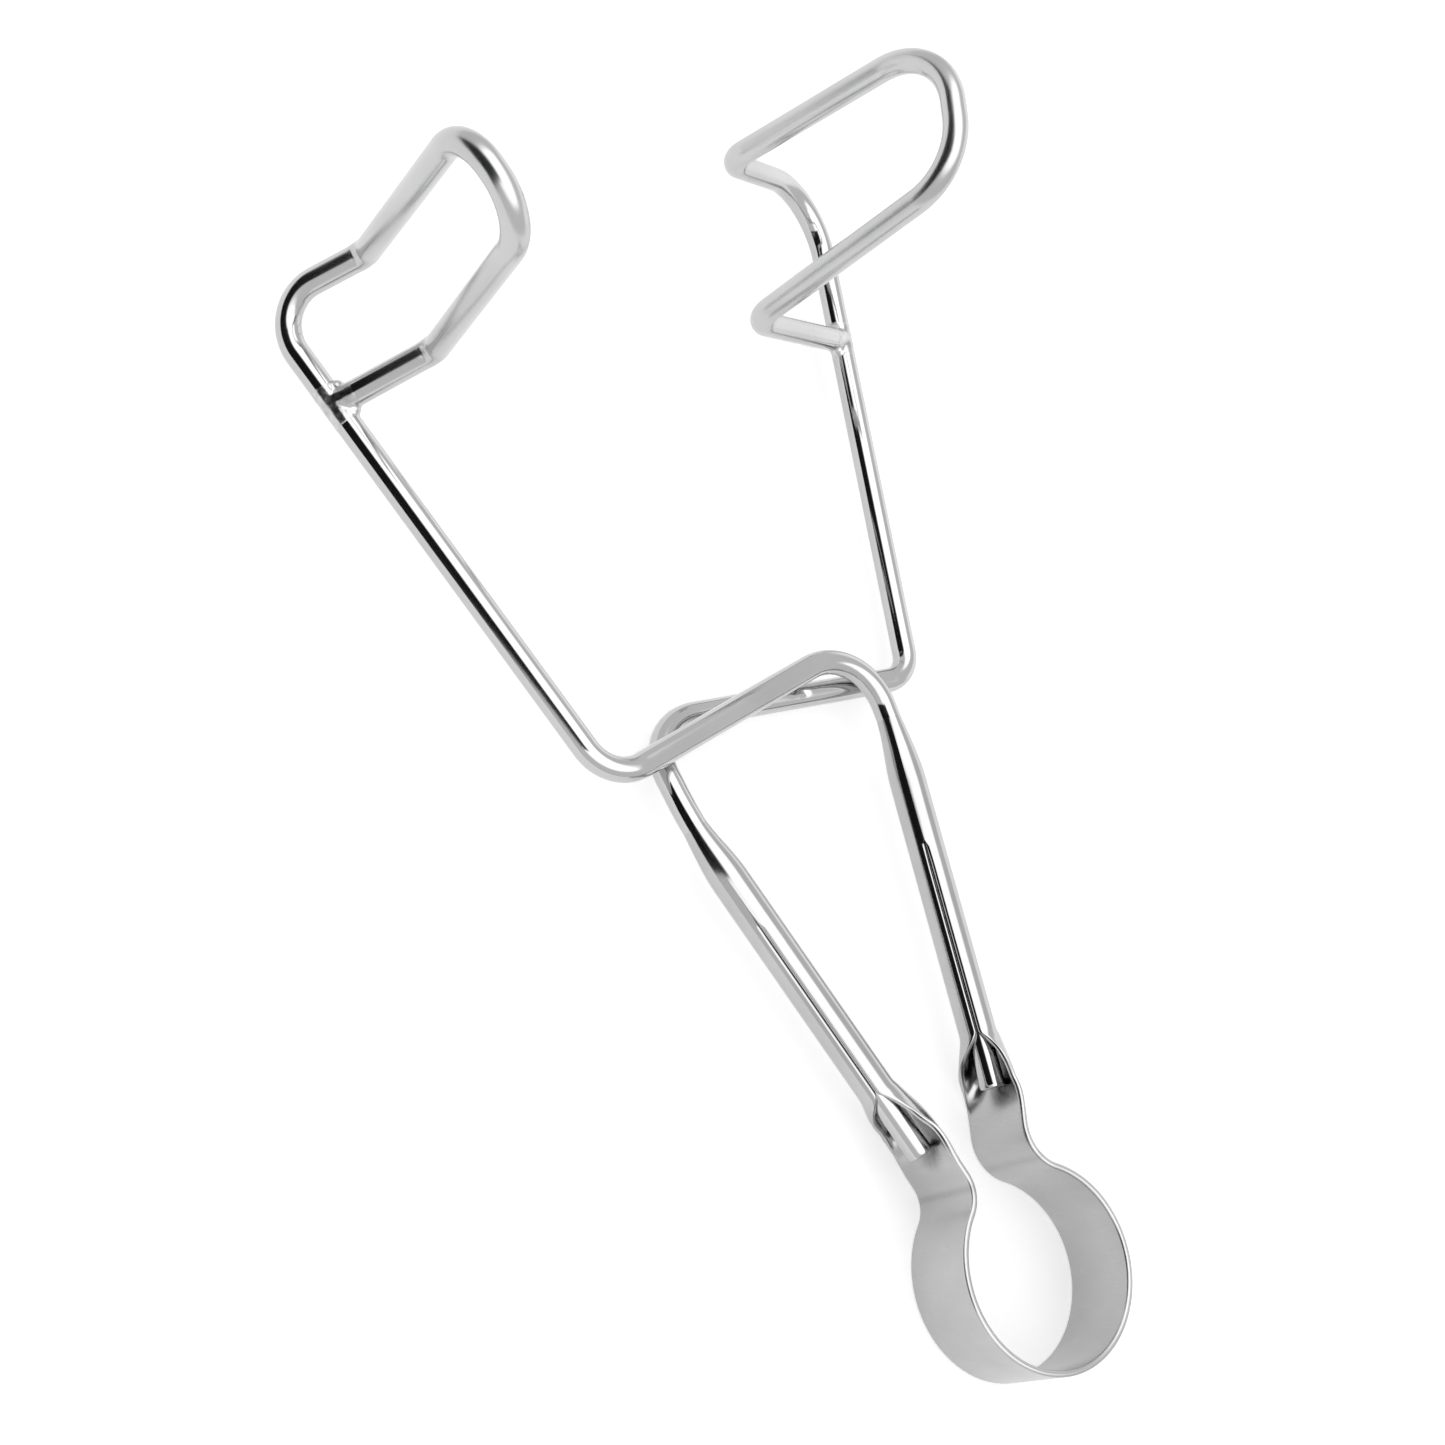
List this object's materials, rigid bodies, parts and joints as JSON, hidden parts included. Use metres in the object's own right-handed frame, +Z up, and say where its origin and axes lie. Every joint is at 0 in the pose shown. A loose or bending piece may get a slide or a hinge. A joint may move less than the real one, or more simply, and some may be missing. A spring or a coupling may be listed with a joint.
{
  "type": "crucible tongs",
  "caption": "Wire lifting tongs with a sprung ring handle; squeezing the two grips opens two upright loop jaws.",
  "frame": {"origin": "centre of the spring ring, on the middle plane of the sheet", "axes": "the tongs lie on their back: +Y runs from the ring to the jaws, +X towards the right jaw, +Z up, the way the loops stand"},
  "size_m": [0.13, 0.2359, 0.0735],
  "materials": {
    "sheet": "satin",
    "wire": "polished",
    "weld": "polished"
  },
  "bodies": {
    "left_grip_half": {"bow_spring": "sheet", "left_grip": "sheet", "right_jaw_arm": "wire", "right_jaw_loop": "wire", "right_jaw_weld": "weld"},
    "right_grip_half": {"right_grip": "sheet", "left_jaw_arm": "wire", "left_jaw_loop": "wire", "left_jaw_weld": "weld"}
  },
  "joints": [
    {"name": "bow_flex", "type": "hinge", "parent": "left_grip_half", "child": "right_grip_half", "pos_m": [0, -0.0181, 0], "axis": [0, 0, 1], "range_deg": [0, 16], "stiffness_Nm_per_rad": 4.5, "deforming": ["bow_spring"]}
  ]
}
